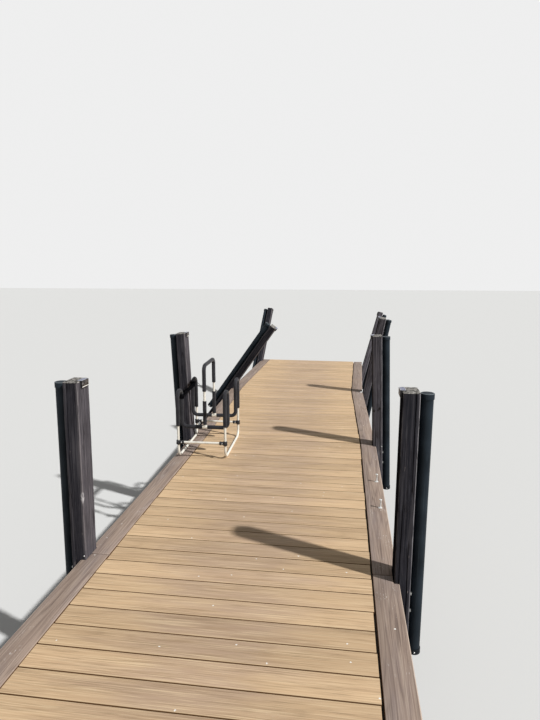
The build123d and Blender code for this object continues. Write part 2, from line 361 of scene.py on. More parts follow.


# Brushed grain of a moulded board: long streaks that may swirl, drifts of a second colour,
# figure lines, dark and pale hairlines, a fine comb, a few pale specks and scuffs, pale
# arrises, partly rubbed and partly a painted highlight, and grime with painted shade in
# the gaps
composite_grain, nodes, given = new_group(
    "composite grain", Base=(216, 184, 146), Streak=(172, 143, 112),
    Pale=(238, 212, 173), Drift=(192, 164, 138), Drift_Middle=1.0, Wave=1.0,
    Swirl=0.25, Figure=0.2, Scuffs=0.12, Rubbed=1.12)
place = nodes.kept("grain", "Vector")
wave = nodes.add("ShaderNodeCombineXYZ", X=given["Wave"], Y=1.0, Z=1.0)[0]
waved = nodes.add("ShaderNodeVectorMath", {"operation": "MULTIPLY"}, i0=place, i1=wave)[0]
broad_streaks = nodes.noise(waved, 1.6, 3.0, (1.3, 22.0, 22.0), given["Swirl"])
thin_streaks = nodes.noise(waved, 2.0, 4.0, (1.3, 80.0, 80.0), given["Swirl"])
hairlines = nodes.noise(waved, 2.0, 3.0, (2.2, 170.0, 170.0), given["Swirl"])
comb_lines = nodes.noise(place, 2.0, 2.0, (9.0, 420.0, 420.0))
figure = nodes.noise(place, 1.0, 1.0, (0.7, 10.0, 10.0))
clouds = nodes.noise(place, 1.7, 4.0, (1.2, 6.0, 6.0))
scuff_lines = nodes.noise(place, 1.0, 2.0, (60.0, 190.0, 1.0), 0.6)
scuff_where = nodes.noise(place, 1.0, 2.0, (4.0, 12.0, 1.0))
walked = abs(nodes.parts(nodes.place())[0]).spread(0.2, 0.7, 0.26, -0.16)
drifted = clouds + walked * given["Drift Middle"]
dark_part = (broad_streaks * 0.55 + thin_streaks * 0.45).spread(0.49, 0.66)
grooves = (nodes.math("PINGPONG", figure * 26.0, 1.0).spread(0.0, 0.45, 1.0, 0.0)
           * broad_streaks.spread(0.35, 0.6, 0.3, 1.0) * given["Figure"])
dark_hairs = hairlines.spread(0.54, 0.64) * broad_streaks.spread(0.42, 0.6, 0.15, 0.6)
colour = nodes.layers(
    given["Base"], (drifted.spread(0.46, 0.8), given["Drift"]),
    (dark_part * 0.65, given["Streak"]),
    (thin_streaks.spread(0.48, 0.36, 0.0, 0.6), given["Pale"]),
    (grooves, nodes.toned(given["Streak"], 0.72)),
    (dark_hairs, nodes.toned(given["Streak"], 0.62)),
    (hairlines.spread(0.43, 0.33, 0.0, 0.4), given["Pale"]))
colour = nodes.toned(colour, nodes.kept("tone").spread(0.0, 1.0, 0.9, 1.08)
                     * clouds.spread(0.3, 0.7, 0.95, 1.04))
scuffed = scuff_lines.spread(0.62, 0.68) * scuff_where.spread(0.56, 0.66) * given["Scuffs"]
reach, counts = nodes.few_cells(place, 6.0, 0.25, "2D")
ragged = reach + scuff_lines.spread(0.35, 0.65, -0.012, 0.012)
speck = nodes.math("LESS_THAN", ragged, 0.024) * counts
# Rounded arrises are paler: partly wear, partly a painted highlight.
rubbed_and_highlit = nodes.kept("arris") * thin_streaks.spread(0.3, 0.6, 0.3, 0.9)
# Over the grain go scuffs, specks, the paler arrises and the gap colour, which is grime with
# painted shade.
colour = nodes.layers(
    colour, (scuffed, (226, 220, 212)), (speck, (248, 244, 236)),
    (rubbed_and_highlit, nodes.toned(given["Pale"], given["Rubbed"])),
    (nodes.kept("gap") * 0.95, (94, 56, 14)))
nodes.give(Color=colour, Roughness=thin_streaks.spread(0.3, 0.7, 0.55, 0.72),
           Height=comb_lines + thin_streaks * 0.8)


def composite(name, strength, **inputs):
    """A composite board's material, with its own colours in the shared grain."""
    material, nodes = new_material(name, gloss=0.2)
    grain = nodes.add("ShaderNodeGroup", {"node_tree": composite_grain}, **inputs)
    nodes.dress(grain["Color"], grain["Roughness"], grain["Height"], strength, 0.0006)
    return material


def keep_gap_and_arris(piece, top, in_gap, on_arris):
    """Mark the points below a board's top that look into a gap, for grime and painted shade,
    and those on its rounded top edges, for rubbing and a painted highlight, by tests on their
    place."""
    spots = [vertex.co for vertex in piece.data.vertices]
    below = [top - spot.z for spot in spots]
    keep(piece, "gap", [min(1.0, max(0.0, depth - tiny) / gap_depth) * in_gap(spot)
                        for depth, spot in zip(below, spots)])
    keep(piece, "arris", [on_arris(spot) if tiny < depth < arris_depth else 0.0
                          for depth, spot in zip(below, spots)])


deck_composite = composite("deck composite", 0.5)

chance = Random(4)


def far_off():
    """A place far along and across the grain, so that no two pieces share theirs."""
    return chance.uniform(-9, 9), chance.uniform(-9, 9), 0


def one_board(name, length, thickness):
    """A slotted board along X with rounded long edges, centred on its own middle."""
    board = add_bar(name, (length, board_width, thickness))
    select(board, "EDGE", lambda along, middle: abs(along.x) > 0.9)
    bevel(board_round, 3)
    select(board, "EDGE", lambda along, middle: abs(along.x) < 0.1 and middle.z > 0
           and abs(middle.y) < board_width / 2 - tiny)
    bevel(board_end_ease, 1)
    select(board, "FACE", lambda normal, middle: abs(normal.y) > 0.99)
    bpy.ops.mesh.inset(thickness=0.5 * (thickness - 2 * board_round - board_slot), depth=0,
                       use_individual=True)
    bpy.ops.mesh.inset(thickness=hair, depth=-board_slot_depth, use_individual=True)
    leave()
    keep_gap_and_arris(board, thickness / 2, lambda spot: True, lambda spot: 1.0)
    return board


def end_plane(mesh, way):
    """A point and the outward normal of a deck's end face, towards the lake or the shore."""
    broadest = max((face for face in mesh.polygons if face.normal.y * way > 0.9),
                   key=lambda face: face.area)
    return mesh.vertices[broadest.vertices[0]].co.copy(), broadest.normal.copy()


def lay_boards(name, nodes_under):
    """Boards across one straight run of the deck, sawn off along the lines that bound it."""
    boxes = [own_box(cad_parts[node].data, "zxy") for node in nodes_under]
    matrix, size = boxes[0]
    near = -size.y / 2
    far = size.y / 2 + sum(other.y + 2 * joint_gap for lie, other in boxes[1:])
    boards = []
    for index in range(-1, int((far - near) / board_pitch) + 2):
        left_in = chance.uniform(*board_ends_in[0])
        right_in = chance.uniform(*board_ends_in[1])
        board = one_board(f"{name}_{index}", size.x - left_in - right_in, size.z)
        keep_grain(board, chance.random(), far_off())
        middle = Vector(((left_in - right_in) / 2, near + (index + 0.5) * board_pitch,
                         chance.uniform(0, board_lift)))
        board.data.transform(matrix @ Matrix.Translation(middle))
        boards.append(board)
    run = join(name, boards)
    choose(run)
    edit()
    for node, way in ((nodes_under[0], -1), (nodes_under[-1], 1)):
        spot, normal = end_plane(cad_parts[node].data, way)
        bpy.ops.mesh.select_all(action="SELECT")
        bpy.ops.mesh.bisect(plane_co=spot, plane_no=normal, clear_outer=True, use_fill=True)
    leave()
    finish_piece(run, "deck_board", deck_composite, *nodes_under)


for name, nodes_under in straight_runs.items():
    lay_boards(name, nodes_under)

# Edge boards
# A darker composite board lies along each side over the rim, notched round the posts, with a
# swirled grain of brown, tan and grey. Its pieces butt together at the joints, and their
# outer arrises are pale, partly rubbed and partly a painted highlight.
edge_round = 0.006
weld = 0.00002
edge_inner = 0.774
outer_side = 0.9
inner_arris = 0.3
edge_composite = composite(
    "edge composite", 0.8, Base=(162, 142, 128), Streak=(126, 109, 100),
    Pale=(188, 170, 154), Drift=(141, 128, 125), Drift_Middle=0.0, Wave=0.8,
    Swirl=0.25, Figure=0.6, Scuffs=0.9, Rubbed=1.6)


def ease_corners(piece, width, angle):
    """Round a piece's corners that are sharper than an angle, by an applied modifier."""
    choose(piece)
    easing = piece.modifiers.new("easing", "BEVEL")
    easing.width = width
    easing.segments = 2
    easing.limit_method = "ANGLE"
    easing.angle_limit = radians(angle)
    bpy.ops.object.modifier_apply(modifier=easing.name)


def clean_copies(node, ease):
    """The solids of a CAD node as separate meshes, from near to far, merged, with whole flats
    and eased edges."""
    copy = bpy.data.objects.new(node + "_copy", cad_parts[node].data.copy())
    bpy.context.collection.objects.link(copy)
    choose(copy)
    edit()
    bpy.ops.mesh.select_all(action="SELECT")
    bpy.ops.mesh.remove_doubles(threshold=weld)
    bpy.ops.mesh.dissolve_limited(angle_limit=radians(1))
    bpy.ops.mesh.separate(type="LOOSE")
    leave()
    copies = list(bpy.context.selected_objects)
    for copy in copies:
        choose(copy)
        bpy.ops.mesh.customdata_custom_splitnormals_clear()
        ease_corners(copy, ease, 40)
    return sorted(copies, key=lambda piece: sum(
        corner.y for corner in corners_in(Matrix(), [vertex.co for vertex in piece.data.vertices])))


bay_boxes = [own_box(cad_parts[f"deck_{bay}"].data, "zxy") for bay in (1, 2, 3, 4)]
for node in ("left_edge_boards", "right_edge_boards"):
    boards = clean_copies(node, edge_round)
    for board, (bay, size) in zip(boards, bay_boxes):
        board.data.transform(bay.inverted())
        keep_gap_and_arris(board, size.z / 2, lambda spot: abs(spot.x) < edge_inner + tiny,
                  lambda spot: 1.0 if abs(spot.x) > outer_side else inner_arris)
        board.data.transform(bay)
        keep_grain(board, chance.random(), far_off(), bay, "y")
    finish_piece(join(node.replace("boards", "trim"), boards), "edge_board", edge_composite, node)

# Framing
# Treated softwood: rims and inner joists on edge, headers across the ends of each bay, and
# under every joint a cap on two square piles. Weathered grey-brown, rough and knotty, and
# darker along its tops under the boards, where shade is painted in.
timber_round = 0.003
# Levels over which painted shade darkens the framing towards its tops.
top_shade_from, top_shade_to = 0.078, 0.09

weathered_grain, nodes, given = new_group(
    "weathered grain", Base=(124, 110, 92), Dark=(84, 72, 60),
    Pale=(156, 144, 126), Cracks=0.5)
place = nodes.kept("grain", "Vector")
reach, counts = nodes.few_cells(nodes.stretched(place, (2.4, 8.0, 8.0)), 1.0, 0.4)
knot = reach.spread(0.07, 0.16, 1.0, 0.0) * counts
knot_ring = nodes.math("SINE", reach * 150.0) * reach.spread(0.1, 0.34, 1.0, 0.0) * counts
warp = nodes.noise(place, 2.0, 2.0, (1.5, 9.0, 9.0))
rings = nodes.noise(place, 2.0, 4.0, (1.2, 60.0, 60.0), 0.4)
fibre = nodes.noise(place, 2.0, 3.0, (5.0, 330.0, 330.0))
stains = nodes.noise(place, 4.0, 4.0)
crack_cells = nodes.add("ShaderNodeTexVoronoi", {"feature": "DISTANCE_TO_EDGE"}, Scale=1.0,
                        Vector=nodes.stretched(place, (2.2, 70.0, 70.0)))["Distance"]
crack = crack_cells.spread(0.0, 0.05, 1.0, 0.0) * warp.spread(0.5, 0.62) * given["Cracks"]
colour = nodes.layers(
    given["Base"], (rings.spread(0.46, 0.66), given["Dark"]),
    (rings.spread(0.45, 0.35, 0.0, 0.6), given["Pale"]),
    (fibre.spread(0.52, 0.75, 0.0, 0.7), given["Pale"]),
    ((knot * 0.8).most(knot_ring * 0.45), given["Dark"]))
colour = nodes.toned(colour, nodes.kept("tone").spread(0.0, 1.0, 0.86, 1.12)
                     * stains.spread(0.3, 0.72, 0.82, 1.12))
# Cracks are painted near black, as painted shade in them.
nodes.give(Color=nodes.mix(crack.most(nodes.kept("crack")), colour, (14, 12, 12)),
           Roughness=fibre.spread(0.3, 0.7, 0.7, 0.9),
           Height=fibre + rings + knot_ring * 0.3 - crack * 3.0)

frame_timber, nodes = new_material("frame timber", gloss=0.3)
grain = nodes.add("ShaderNodeGroup", {"node_tree": weathered_grain})
level = nodes.parts(nodes.place())[2]
# Painted shade: darker towards the framing's tops, under the boards.
top_shade = level.spread(top_shade_from, top_shade_to, 0.0, 0.85)
nodes.dress(nodes.mix(top_shade, grain["Color"], (42, 34, 28)), grain["Roughness"],
            grain["Height"], 0.5, 0.0012)
framing_nodes = {"y": [f"joists_{bay}" for bay in (1, 2, 3, 4)],
                 "x": [f"{kind}_{bent}" for kind in ("headers", "cap") for bent in range(5)],
                 "z": [f"piles_{bent}" for bent in range(5)]}
for along, names in framing_nodes.items():
    for node in names:
        timbers = clean_copies(node, timber_round)
        for piece in timbers:
            keep_grain(piece, chance.random(), (chance.uniform(-9, 9), 0, 0), along=along)
        finish_piece(join(node + "_timber", timbers), "framing", frame_timber, node)

# Side posts
# Four-by-six timbers stood on edge against the rims, weathered dark, in a shaded and a
# sunlit copy of one grain: painted shade makes the faces turned from the sun near black,
# and the side that the sun reaches is paler, partly bleached and partly painted light. They
# have worn and chipped arrises, paler towards the sun partly as a painted highlight, long
# drying cracks and sawn tops.
# Those that lean were pushed over by ice.
post_half = Vector((0.0445, 0.070, 0.9145))
post_rings = 60
post_round = 0.005
post_wave = 0.0007
arris_chip = 0.0045
crack_half = 0.003
crack_depth = 0.011
end_crack_depth = 0.0025
crack_wander = 0.004
check_foot = 0.32
cracks_across = (-0.021, 0.023)
cracks_along = (-0.037, 0.029)
end_insets = (0.003, 0.012)
rim_dip = 0.0035
end_dip = 0.001
end_rough = 0.0006
# How far each whole post takes the paler sunlit copy: partly bleaching, partly painted light where
# a leaning post turns up to the sun.
post_bleach_and_light = {("right", 2): 0.75, ("right", 3): 0.9, ("right", 4): 0.9, ("left", 0): 0.15,
               ("left", 1): 0.15, ("left", 2): 0.15}
post_rounding = {"left": 1.0, "right": 0.3}
post_cracking = {"left": 0.35, "right": 1.0}
chip_at = (0.235, 0.0425, -0.066)  # up the post, across it and deep, on the second left post
heart_at = (0.0, -0.05, 0.11)  # the middle of the rings that show on a sawn end
post_boxes = {(side, bent): own_box(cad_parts[f"{side}_post_{bent}"].data, "xyz")
              for side in ("left", "right") for bent in range(5)}

post_timber, nodes = new_material("post timber", gloss=0.0)
# A shaded and a sunlit copy of one grain: the darker, bluish one is painted shade for the faces
# turned from the sun.
shaded_side = nodes.add("ShaderNodeGroup", {"node_tree": weathered_grain}, Base=(49, 49, 55),
                      Dark=(36, 36, 42), Pale=(80, 78, 82), Cracks=0.8)
sun_side = nodes.add("ShaderNodeGroup", {"node_tree": weathered_grain}, Base=(90, 87, 92),
                     Dark=(64, 61, 65), Pale=(118, 113, 116), Cracks=0.8)
place = nodes.kept("side", "Vector")
along, across, deep = nodes.parts(place)
rounding = nodes.kept("rounding")
rough_edge = nodes.noise(place, 2.0, 4.0, (5.0, 30.0, 30.0))
reach = across + rough_edge.spread(0.3, 0.7, -0.003, 0.003)
# The paler copy is painted light on the side that the sun reaches, partly real bleaching.
sunned = reach.spread(post_half.x - 0.006, post_half.x - 0.001).most(nodes.kept("bleach"))
# Painted shade darkens the face turned away from the sun still more.
shaded = across.spread(0.0009 - post_half.x, 0.0021 - post_half.x, 0.3, 1.0)
colour = nodes.toned(nodes.mix(sunned, shaded_side["Color"], sun_side["Color"]), shaded)
to_arris = (post_half.x - abs(across)) + (post_half.y - abs(deep))
to_sun = (across - deep).spread(0.02, 0.09, 0.3, 1.0)
to_top = along.spread(-0.4, 0.85, 0.35, 1.0)
# Rounded and worn arrises are paler towards the sun and the top: partly wear, partly a painted
# highlight.
rounded = (to_arris.spread(0.004, 0.017, 1.0, 0.0) * to_sun
           * rough_edge.spread(0.34, 0.54, 0.25, 0.75) * rounding)
worn_and_sunlit = (to_arris.spread(0.0016, 0.0046, 1.0, 0.0) * rough_edge.spread(0.36, 0.52) * to_top
        * to_sun * rounding.spread(0.3, 1.0, 1.0, 0.4))
from_chip = nodes.distance(nodes.stretched(place, (0.4, 1.0, 1.0)),
                           (0.4 * chip_at[0], chip_at[1], chip_at[2]))
chipped = (from_chip.spread(0.006, 0.016, 1.0, 0.0) * nodes.kept("chipped")
           * nodes.noise(place, 1.0, 3.0, (60.0, 140.0, 140.0)).spread(0.42, 0.52))
scuffed = (nodes.noise(place, 1.0, 3.0, (14.0, 90.0, 90.0)).spread(0.66, 0.72)
           * nodes.noise(place, 3.0, 2.0).spread(0.55, 0.62))
from_heart = nodes.distance(nodes.stretched(place, (0.0, 1.0, 1.0)), heart_at)
end_rings = nodes.math("SINE", from_heart * 1500.0)
end_colour = nodes.layers(
    (92, 90, 86), (nodes.noise(place, 60.0, 4.0).spread(0.42, 0.6), (190, 186, 180)),
    (end_rings.spread(0.0, 1.0, 0.0, 0.4), (56, 52, 48)))
colour = nodes.layers(
    colour, (rounded, (112, 107, 110)), (worn_and_sunlit, (196, 192, 194)),
    (chipped, (190, 188, 190)), (scuffed * 0.8, (168, 156, 150)),
    (abs(along).spread(post_half.z - 0.004, post_half.z - 0.001), end_colour))
nodes.dress(colour, shaded_side["Roughness"], shaded_side["Height"], 0.9, 0.0018)


def slice_at(spot, normal):
    """Cut a fine line round the whole mesh along a plane."""
    bpy.ops.mesh.select_all(action="SELECT")
    bpy.ops.mesh.bisect(plane_co=spot, plane_no=normal)


def crack_at(spot, size, shift, cracking):
    """How far a point stands inside a crack, from 0 to 1, the axes that the crack wanders and
    opens along, and how far it wanders there."""
    for axis, other, middles in ((0, 1, cracks_across), (1, 0, cracks_along)):
        if abs(spot[other]) < size[other] / 2 - tiny:
            continue
        face = 1 if spot[other] > 0 else -1
        for number, middle in enumerate(middles):
            off = abs(spot[axis] - middle)
            if off > 1.5 * crack_half:
                continue
            lane = Vector((face * 3.1 + number * 7.7, axis * 5.3, 0)) + shift
            open_here = noise.noise(lane + Vector((0, 0, spot.z * 1.3)))
            if number == 1 and cracking == 1:
                open_here = max(open_here, (spot.z - check_foot) / size.z)
            wander = noise.noise(lane + Vector((9, 0, spot.z * 5))) * crack_wander
            share = cracking * max(0.0, min(1.0, open_here * 4)) if off < tiny else 0.0
            return share, axis, other, wander
    return 0.0, 0, 1, 0.0


for (side, bent), (matrix, size) in post_boxes.items():
    post = add_bar(f"{side}_timber_{bent}", size)
    select(post, "EDGE", lambda along, middle: abs(along.z) > 0.9)
    bpy.ops.mesh.subdivide(number_cuts=post_rings)
    select(post, "EDGE", lambda along, middle: abs(along.z) > 0.9)
    bevel(post_round, 3)
    for normal, middles in (((1, 0, 0), cracks_across), ((0, 1, 0), cracks_along)):
        for middle in middles:
            for offset in (-crack_half, 0, crack_half):
                slice_at(Vector(normal) * (middle + offset), normal)
    select(post, "FACE", lambda normal, middle: abs(normal.z) > 0.9)
    for inset in end_insets:
        bpy.ops.mesh.inset(thickness=inset, depth=0)
    leave()
    shift = Vector((chance.uniform(-9, 9), chance.uniform(-9, 9), chance.uniform(-9, 9)))
    keep_grain(post, chance.random(), shift, along="z")
    spots = [vertex.co.copy() for vertex in post.data.vertices]
    cracks = [crack_at(spot, size, shift, post_cracking[side]) for spot in spots]
    keep(post, "side", [(spot.z, spot.x, spot.y) for spot in spots])
    keep(post, "bleach", post_bleach_and_light.get((side, bent), 0.0))
    keep(post, "rounding", post_rounding[side])
    keep(post, "chipped", float((side, bent) == ("left", 1)))
    keep(post, "crack", [crack[0] for crack in cracks])
    half = size / 2
    for vertex, spot, (share, axis, other, wander) in zip(post.data.vertices, spots, cracks):
        is_arris = abs(spot.x) > half.x - post_round and abs(spot.y) > half.y - post_round
        wave = noise.noise(Vector((spot.z * 5, spot.x * 20, spot.y * 20)) + shift)
        chip = noise.noise(Vector((spot.z * 22, spot.x * 9, spot.y * 9)) - shift) - 0.1
        pull = post_wave * (0.5 + 0.5 * wave) + (arris_chip * max(0.0, chip) if is_arris else 0.0)
        vertex.co.x -= pull * spot.x / half.x
        vertex.co.y -= pull * spot.y / half.y
        vertex.co[axis] += wander
        at_end = abs(spot.z) > half.z - tiny
        depth = end_crack_depth if at_end else crack_depth
        vertex.co[other] -= share * depth * (1 if spot[other] > 0 else -1)
        if at_end:
            at_rim = max(abs(spot.x) / half.x, abs(spot.y) / half.y) > 0.96
            dip = rim_dip if at_rim else end_dip + end_rough * noise.noise(spot * 60 + shift)
            vertex.co.z -= dip * (1 if spot.z > 0 else -1)
    post.data.transform(matrix)
    finish_piece(post, "post_timber", post_timber, f"{side}_post_{bent}", angle=45)

# Fender pipes
# Black polyethylene pipe between two slip-on caps stands off the outer face of each post on
# two spacers, with rubber strips packed behind it. It is dull, faintly scuffed and greyed by
# the weather, with a blue tint that is painted sky reflection. The lower cap is drained, and
# a stainless screw pins each cap.
pipe_radius = 0.033
pipe_length = 1.5
pipe_drop = 0.014
pipe_stand_off = 0.010
pipe_sway = 0.0006
pipe_sides = 48
pipe_steps = 24
cap_radius = 0.0365
cap_height = 0.032
cap_chamfer = 0.0025
cap_lip = 0.0008
drain_radius = 0.006
drain_depth = 0.004
spacer_radius = 0.012
spacer_foot = 0.015
spacer_inset = 0.180
spacer_reach = 0.014
spacer_profile = [(spacer_foot, 0.0), (spacer_foot, 0.0014), (spacer_radius, 0.0022),
                  (spacer_radius, spacer_reach)]
strip_width = 0.024
strip_ease = 0.0012
strip_runs = (0.036, 0.164), (0.196, 1.304), (1.336, 1.464)
pipe_profile = [(drain_radius, drain_depth), (drain_radius, 0), (cap_radius - cap_chamfer, 0),
                (cap_radius, cap_chamfer), (cap_radius, cap_height - cap_lip),
                (cap_radius - cap_lip, cap_height), (pipe_radius, cap_height)]
pipe_profile += [(pipe_radius, cap_height + (pipe_length - 2 * cap_height) * step / pipe_steps)
                 for step in range(1, pipe_steps + 1)]
pipe_profile += [(cap_radius - cap_lip, pipe_length - cap_height),
                 (cap_radius, pipe_length - cap_height + cap_lip),
                 (cap_radius, pipe_length - cap_chamfer),
                 (cap_radius - 0.0009, pipe_length - 0.0008),
                 (cap_radius - cap_chamfer, pipe_length), (0.026, pipe_length - 0.0006),
                 (0.012, pipe_length - 0.0002)]


def drawn_round(name, profile, sides):
    """A closed round piece about Z, drawn out step by step from its radii and levels."""
    choose()
    radius, level = profile[0]
    bpy.ops.mesh.primitive_circle_add(vertices=sides, radius=radius, fill_type="NGON")
    piece = bpy.context.object
    piece.name = name
    edit()
    bpy.ops.transform.translate(value=(0, 0, level))
    for next_radius, next_level in profile[1:]:
        bpy.ops.mesh.extrude_region_move(
            TRANSFORM_OT_translate={"value": (0, 0, next_level - level)})
        share = next_radius / radius
        bpy.ops.transform.resize(value=(share, share, 1), center_override=(0, 0, 0))
        radius, level = next_radius, next_level
    bpy.ops.mesh.select_all(action="SELECT")
    bpy.ops.mesh.normals_make_consistent(inside=False)
    leave()
    return piece


def eased_bar(name, size, width, segments, middle=(0, 0, 0)):
    """A block with all its edges rounded."""
    bar = add_bar(name, size, middle)
    bevel(width, segments)
    leave()
    return bar


def set_at(piece, *matrices):
    """Copies of a piece, one at each matrix, each with its own mesh. The piece itself goes."""
    copies = []
    for matrix in matrices:
        copy = bpy.data.objects.new(piece.name + "_set", piece.data.copy())
        bpy.context.collection.objects.link(copy)
        copy.data.transform(matrix)
        copies.append(copy)
    bpy.data.objects.remove(piece)
    return copies


def turn(degrees, axis):
    """A turn about an axis, in degrees."""
    return Matrix.Rotation(radians(degrees), 4, axis)


def move(x, y, z):
    """A shift."""
    return Matrix.Translation((x, y, z))


def two_tone(name, scale, detail, mixed, first, second, rough, relief=(), **constants):
    """A material whose colour, roughness and relief, if any, follow one noise."""
    material, nodes = new_material(name, **constants)
    drift = nodes.noise(nodes.place(), scale, detail)
    nodes.dress(nodes.mix(drift.spread(*mixed), first, second), drift.spread(0.3, 0.7, *rough),
                *((drift, *relief) if relief else ()))
    return material


def unworn(piece):
    """Mark a small piece beside a pipe as having no pale rims."""
    keep(piece, "arris", 0.0)
    keep_grain(piece, shift=(0.5, 0, 0), along="z")
    return piece


pipe_plastic, nodes = new_material("pipe plastic", gloss=0.12)
place = nodes.kept("grain", "Vector")
along = nodes.parts(place)[0]
scuff = nodes.noise(place, 1.0, 4.0, (9.0, 70.0, 70.0))
rim = (along.spread(pipe_length - 0.0030, pipe_length - 0.0012, 0.0, 0.8)
       * nodes.kept("arris").spread(0.2, 0.9))
# The blue tint in these colours is painted sky reflection.
colour = nodes.layers(
    (23, 30, 36), (nodes.noise(place, 4.0, 3.0).spread(0.35, 0.7), (41, 50, 58)),
    (scuff.spread(0.62, 0.8, 0.0, 0.4), (74, 84, 92)),
    (nodes.noise(place, 1.0, 2.0, (2.0, 260.0, 260.0)).spread(0.64, 0.76, 0.0, 0.3),
     (84, 92, 98)),
    (along.spread(cap_height, cap_height + 0.003, 0.6, 0.0), (14, 14, 16)),
    (rim, (116, 124, 128)))
nodes.dress(colour, scuff.spread(0.3, 0.75, 0.46, 0.66), scuff, 0.25, 0.0006)
steel = two_tone("stainless screws", 900.0, 2.0, (0.35, 0.65), (186, 186, 184),
                 (226, 226, 224), (0.25, 0.42), Metallic=1.0)

screw_spots = []
for side, out in (("left", -1), ("right", 1)):
    pipes = []
    for bent in range(5):
        matrix, size = post_boxes[side, bent]
        face = out * size.x / 2
        foot = size.z / 2 - pipe_drop - pipe_length
        pipe = drawn_round("pipe", pipe_profile, pipe_sides)
        keep(pipe, "arris", [float(vertex.co.xy.length > cap_radius - 1.2 * cap_chamfer)
                             for vertex in pipe.data.vertices])
        keep_grain(pipe, along="z")
        for vertex in pipe.data.vertices:
            vertex.co.x += pipe_sway * noise.noise(Vector((vertex.co.z * 3, bent, out)))
        axis = matrix @ move(face + out * (pipe_stand_off + pipe_radius), 0, foot)
        pipes += set_at(pipe, axis)
        for level in (spacer_inset, pipe_length - spacer_inset):
            pipes += set_at(unworn(drawn_round("spacer", spacer_profile, 24)),
                            matrix @ move(face, 0, foot + level) @ turn(90 * out, "Y"))
        for low, high in strip_runs:
            strip = eased_bar("strip", (pipe_stand_off + strip_ease, strip_width, high - low),
                              strip_ease, 2)
            pipes += set_at(unworn(strip), matrix @ move(
                face + out * pipe_stand_off / 2, 0, foot + (low + high) / 2))
        screw_spots.append(axis @ move(0, -cap_radius, cap_height / 2) @ turn(90, "X"))
        screw_spots.append(axis @ move(0, cap_radius, pipe_length - cap_height / 2)
                           @ turn(-90, "X"))
    finish_piece(join(f"{side}_pipes", pipes), "fender_pipe", pipe_plastic, f"{side}_fenders")

# Screws and bolts
# Stainless pan-head screws pin the pipes' caps, and two more are left from old fittings on the
# posts. Two galvanised bolts with washers hold each upright post to the rim on either side of
# its pipe, and two rusty ones are left on the third right post.
screw_profile = [(0.0030, -0.004), (0.0030, 0.0), (0.0050, 0.0), (0.0052, 0.0009),
                 (0.0044, 0.0022), (0.0026, 0.0030), (0.0017, 0.0030), (0.0015, 0.0018)]
washer_profile = [(0.0030, -0.001), (0.0118, -0.001), (0.0118, 0.0012), (0.0112, 0.0018),
                  (0.0075, 0.0018)]
bolt_profile = [(0.0094, 0.0017), (0.0096, 0.0075), (0.0086, 0.0086)]
bolt_level = -0.2625
bolt_offsets = [(along, level) for along in (-0.052, 0.052) for level in (-0.05, 0.05)]
old_screws = [("right", 2, 0.036, 0.115), ("left", 1, 0.033, 0.135)]
old_bolts = [("right", 2, -0.034, 0.466), ("right", 2, 0.022, 0.488)]


def on_near_face(side, bent, across, level):
    """A place on a post's shore face, by its distance from the middle and its level."""
    matrix, size = post_boxes[side, bent]
    local = matrix.inverted() @ Vector((matrix.translation.x, matrix.translation.y, level))
    return matrix @ move(across, -size.y / 2 + post_wave, local.z) @ turn(90, "X")


def screws_at(name, *matrices):
    """One piece of pan-head screws."""
    screws = join(name, set_at(drawn_round("screw", screw_profile, 16), *matrices))
    finish_piece(screws, "pin_metal", steel)


def bolts_at(name, material, *matrices):
    """One piece of hexagon bolt heads on their washers."""
    washers = set_at(drawn_round("washer", washer_profile, 24), *matrices)
    heads = set_at(drawn_round("head", bolt_profile, 6), *matrices)
    finish_piece(join(name, washers + heads), "pin_metal", material)


screws_at("screws", *screw_spots, *[on_near_face(*spot) for spot in old_screws])

pin_metal, nodes = new_material("galvanised steel", Metallic=1.0)
place = nodes.place()
bloom = nodes.noise(place, 90.0, 3.0)
spangle = nodes.add("ShaderNodeTexVoronoi", Vector=place, Scale=420.0)["Distance"]
colour = nodes.layers((132, 132, 130), (bloom.spread(0.35, 0.65), (182, 182, 178)),
                      (spangle.spread(0.3, 0.7, 0.0, 0.3), (110, 112, 114)))
nodes.dress(colour, bloom.spread(0.3, 0.7, 0.38, 0.58), bloom, 0.2, 0.0004)
rusty = two_tone("rusty bolt", 300.0, 4.0, (0.4, 0.62), (16, 14, 15), (42, 34, 31),
                 (0.7, 0.9), (0.6, 0.0008), gloss=0.3)

bolt_spots = []
for (side, bent), (matrix, size) in post_boxes.items():
    upright = matrix.col[2].z > 0.999
    out = 1 if side == "right" else -1
    for along, level in bolt_offsets if upright else []:
        bolt_spots.append(matrix @ move(out * size.x / 2, along, bolt_level + level)
                          @ turn(90 * out, "Y"))
bolts_at("post_bolts", pin_metal, *bolt_spots)
bolts_at("old_bolts", rusty, *[on_near_face(*spot) for spot in old_bolts])

# Post lights
# A small solar lamp is screwed to the dock side of each post at its top: a dark moulded
# housing whose lip reaches back over the post, with a pale top frame, partly silver and
# partly a painted glint, a smoked glass panel let into the top, and a white lens along the
# foot with a faint painted glow.
lamp_length = 0.078
lamp_height = 0.038
lamp_depth = 0.012
lamp_shift = 0.005
lamp_chamfer = 0.003
lamp_ease = 0.001
lens_height = 0.006
lens_thickness = 0.0022
lens_inset = 0.003
lens_ease = 0.0007
lens_slope = 26.57
lens_lap = 0.0006
lens_sink = 0.0004
lip_reach = 0.018
lip_thickness = 0.003
panel_frame = 0.0018
panel_recess = 0.0009
panel_thickness = 0.0006
panel_play = (0.0008, 0.0030)
lamp_screw_level = -0.017
lamp_screw_reach = 0.031
lamp_screw_profile = [(0.0028, 0.0), (0.0028, 0.0005), (0.0018, 0.0011), (0.0009, 0.0011),
                      (0.0008, 0.0005)]

